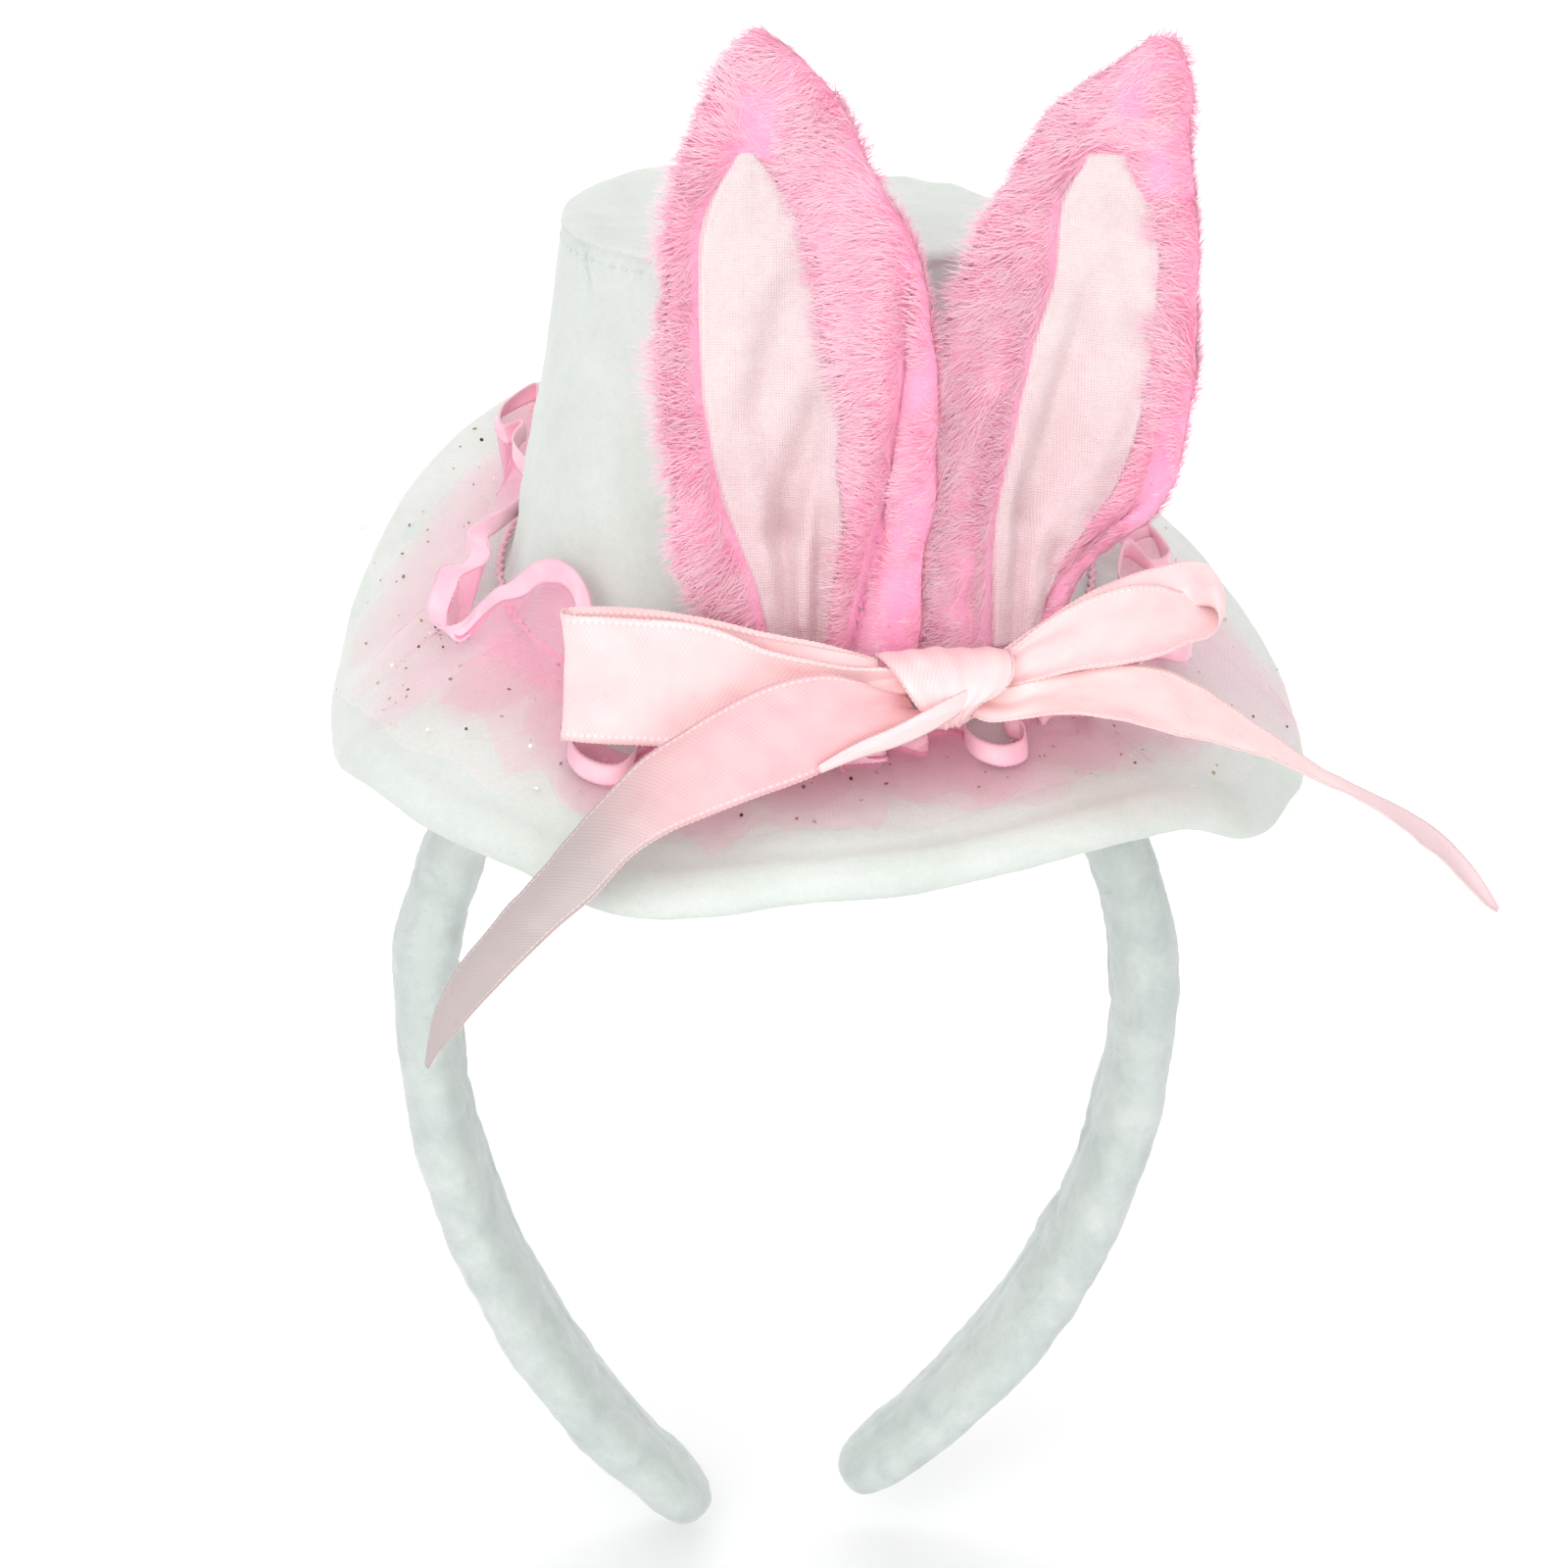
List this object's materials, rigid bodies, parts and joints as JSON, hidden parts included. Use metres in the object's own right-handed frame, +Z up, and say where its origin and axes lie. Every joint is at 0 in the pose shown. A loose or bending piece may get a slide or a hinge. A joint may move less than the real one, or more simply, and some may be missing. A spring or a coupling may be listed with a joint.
{
  "type": "animal ears headband",
  "caption": "Padded, velour-covered headband carrying a white mini top hat with two furry pink bunny ears, a satin bow and a glittery tulle ruffle.",
  "frame": {"origin": "centre of the band's round top arc, midway between its front and back edges", "axes": "+Z up through the crown of the hat, +X to the right as seen from the front, -Y the way the wearer faces; +Y is the axis of the round top arc"},
  "size_m": [0.1667, 0.1527, 0.2461],
  "materials": {
    "band_core": "matte",
    "band_foam": "matte",
    "band_velour": "matte",
    "hat_felt": "matte",
    "hat_stiffener": "matte",
    "white_thread": "matte",
    "tulle": "matte",
    "glitter": "polished",
    "ruffle_satin": "satin",
    "bow_satin": "satin",
    "ear_fur": "matte",
    "ear_batting": "matte",
    "ear_wire": "brushed",
    "ear_lining": "matte"
  },
  "bodies": {
    "hat": {"band_bridge_core": "band_core", "band_bridge_foam": "band_foam", "band_bridge_sleeve": "band_velour", "mounting_pad": "hat_felt", "brim_under_felt": "hat_felt", "brim_stiffener": "hat_stiffener", "brim_top_felt": "hat_felt", "brim_edge_stitches": "white_thread", "crown_wall_felt": "hat_felt", "crown_wall_liner": "hat_stiffener", "crown_top_felt": "hat_felt", "crown_top_liner": "hat_stiffener", "crown_top_stitches": "white_thread", "tulle_lower_layer": "tulle", "tulle_upper_layer": "tulle", "glitter_flecks": "glitter", "ruffle_satin_edge": "ruffle_satin", "ruffle_gather_cord": "ruffle_satin", "bow_knot": "bow_satin", "bow_left_loop": "bow_satin", "bow_right_loop": "bow_satin", "bow_left_tail": "bow_satin", "bow_right_tail": "bow_satin", "left_ear_foot": "ear_fur", "right_ear_foot": "ear_fur"},
    "left_arm": {"left_arm_core": "band_core", "left_arm_foam": "band_foam", "left_arm_sleeve": "band_velour"},
    "right_arm": {"right_arm_core": "band_core", "right_arm_foam": "band_foam", "right_arm_sleeve": "band_velour"},
    "left_ear": {"left_ear_back_fur": "ear_fur", "left_ear_batting": "ear_batting", "left_ear_wire": "ear_wire", "left_ear_front_fur": "ear_fur", "left_ear_lining": "ear_lining"},
    "right_ear": {"right_ear_back_fur": "ear_fur", "right_ear_batting": "ear_batting", "right_ear_wire": "ear_wire", "right_ear_front_fur": "ear_fur", "right_ear_lining": "ear_lining"}
  },
  "joints": [
    {"name": "left_ear_bend", "type": "hinge", "parent": "hat", "child": "left_ear", "pos_m": [0, -0.05288, 0.08171], "axis": [1, 0, 0], "range_deg": [0, 60]},
    {"name": "right_ear_bend", "type": "hinge", "parent": "hat", "child": "right_ear", "pos_m": [0.03726, -0.04607, 0.08179], "axis": [0.9885, 0.134, -0.0696], "range_deg": [0, 60]},
    {"name": "left_arm_flex", "type": "hinge", "parent": "hat", "child": "left_arm", "pos_m": [-0.03535, 0, 0.04213], "axis": [0, 1, 0], "range_deg": [-3, 15], "stiffness_Nm_per_rad": 1.6},
    {"name": "right_arm_flex", "type": "hinge", "parent": "hat", "child": "right_arm", "pos_m": [0.03535, 0, 0.04213], "axis": [0, -1, 0], "range_deg": [-3, 15], "stiffness_Nm_per_rad": 1.6}
  ]
}
